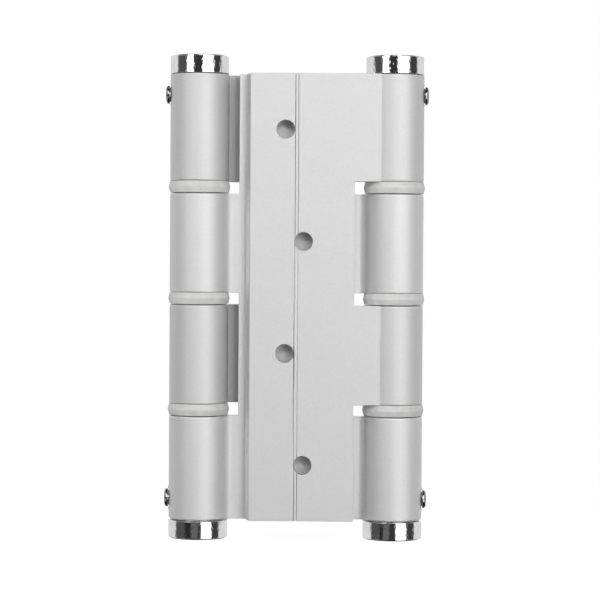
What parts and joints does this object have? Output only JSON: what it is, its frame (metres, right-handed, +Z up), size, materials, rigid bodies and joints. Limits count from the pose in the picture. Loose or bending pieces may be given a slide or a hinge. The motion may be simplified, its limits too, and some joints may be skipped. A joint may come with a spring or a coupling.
{
  "type": "double action spring hinge",
  "caption": "Double action spring hinge for a swing door: extruded aluminium leaves and centre web on sprung knuckle barrels, with nylon rings and chromed end plugs.",
  "frame": {"origin": "middle of the closed hinge: half way up the barrels and half way between the two barrel axes, on the plane of the axes", "axes": "+X from the jamb-side barrel to the door-side barrel, +Y out of the jamb leaf's face towards the jamb, +Z up along the barrels"},
  "size_m": [0.107, 0.025, 0.1954],
  "materials": {
    "anodised_aluminium": "satin silver anodised over a fine blasted surface",
    "chrome": "polished chrome plate",
    "nylon": "natural grey-white nylon, slightly translucent",
    "spring_steel": "oiled square spring wire",
    "steel_tube": "zinc plated steel tube"
  },
  "bodies": {
    "jamb_leaf": {"jamb_leaf": "anodised_aluminium", "jamb_upper_tension_plug": "chrome", "jamb_upper_lock_screw": "chrome", "jamb_upper_ring": "nylon", "jamb_lower_ring": "nylon"},
    "centre_web": {"centre_web": "anodised_aluminium", "jamb_middle_ring": "nylon", "door_middle_ring": "nylon", "jamb_lower_tension_plug": "chrome", "jamb_lower_lock_screw": "chrome", "door_lower_tension_plug": "chrome", "door_lower_lock_screw": "chrome", "jamb_pivot_tube": "steel_tube", "jamb_torsion_spring": "spring_steel", "door_pivot_tube": "steel_tube", "door_torsion_spring": "spring_steel"},
    "door_leaf": {"door_leaf": "anodised_aluminium", "door_upper_tension_plug": "chrome", "door_upper_lock_screw": "chrome", "door_upper_ring": "nylon", "door_lower_ring": "nylon"}
  },
  "joints": [
    {"name": "jamb_hinge", "type": "hinge", "parent": "jamb_leaf", "child": "centre_web", "pos_m": [-0.0395, 0, 0], "axis": [0, 0, -1], "range_deg": [0, 180], "stiffness_Nm_per_rad": 1.5, "springref_deg": -40.11, "deforming": ["jamb_torsion_spring"]},
    {"name": "door_hinge", "type": "hinge", "parent": "centre_web", "child": "door_leaf", "pos_m": [0.0395, 0, 0], "axis": [0, 0, 1], "range_deg": [0, 180], "stiffness_Nm_per_rad": 1.5, "springref_deg": -40.11, "deforming": ["door_torsion_spring"]}
  ]
}
